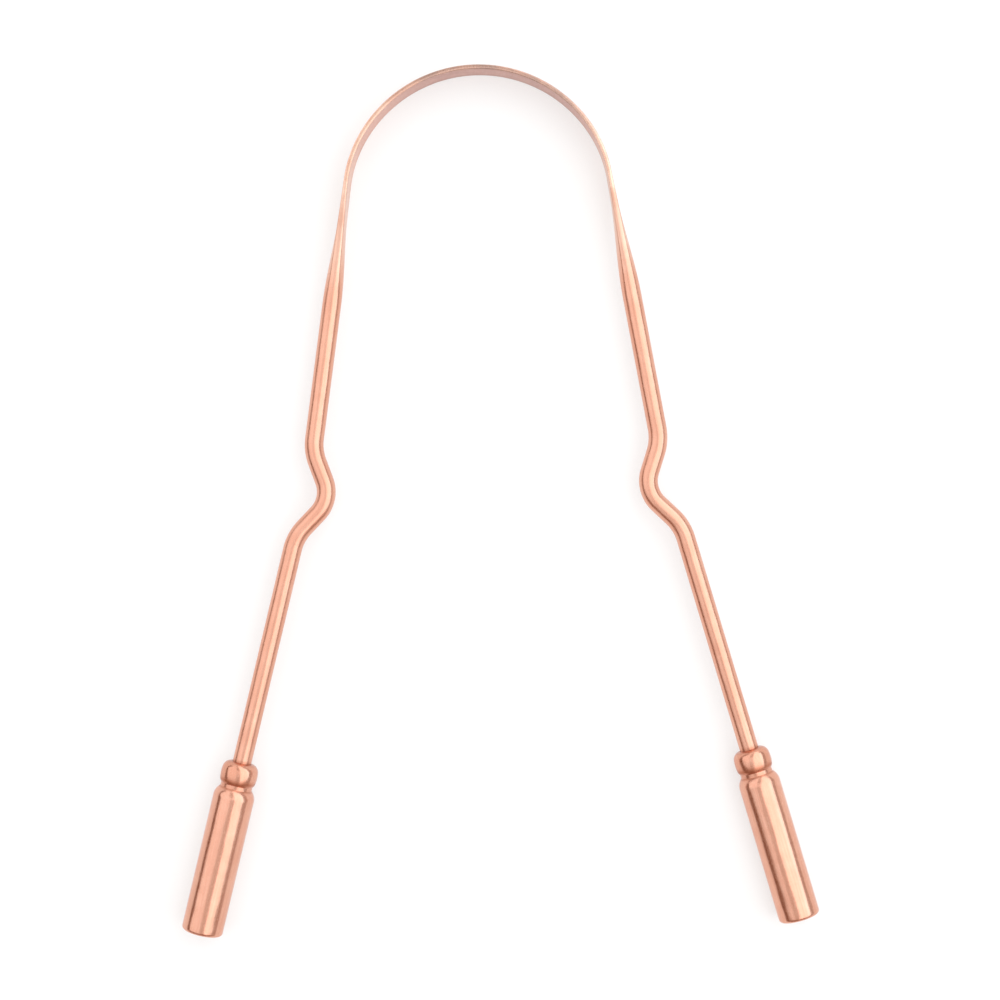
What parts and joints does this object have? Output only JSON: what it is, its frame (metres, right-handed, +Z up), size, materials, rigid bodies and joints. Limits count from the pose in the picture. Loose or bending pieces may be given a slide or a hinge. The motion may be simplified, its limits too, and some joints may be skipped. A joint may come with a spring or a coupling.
{
  "type": "tongue scraper",
  "caption": "Copper tongue scraper: a round rod bow pressed flat into a blade across its arch, with finger rests in the legs and turned grips on the ends.",
  "frame": {"origin": "on the table, midway between the legs and midway along the whole length", "axes": "+X from the left leg to the right leg, +Y from the grips to the arch, +Z up from the table that the scraper lies on"},
  "size_m": [0.1014, 0.137, 0.0066],
  "materials": {
    "bow_copper": "drawn copper rod, satin polished, with the arch pressed flat",
    "grip_copper": "turned copper, brushed along its length"
  },
  "bodies": {
    "root": {"scraper_bow": "bow_copper", "left_grip": "grip_copper", "right_grip": "grip_copper"}
  },
  "joints": []
}
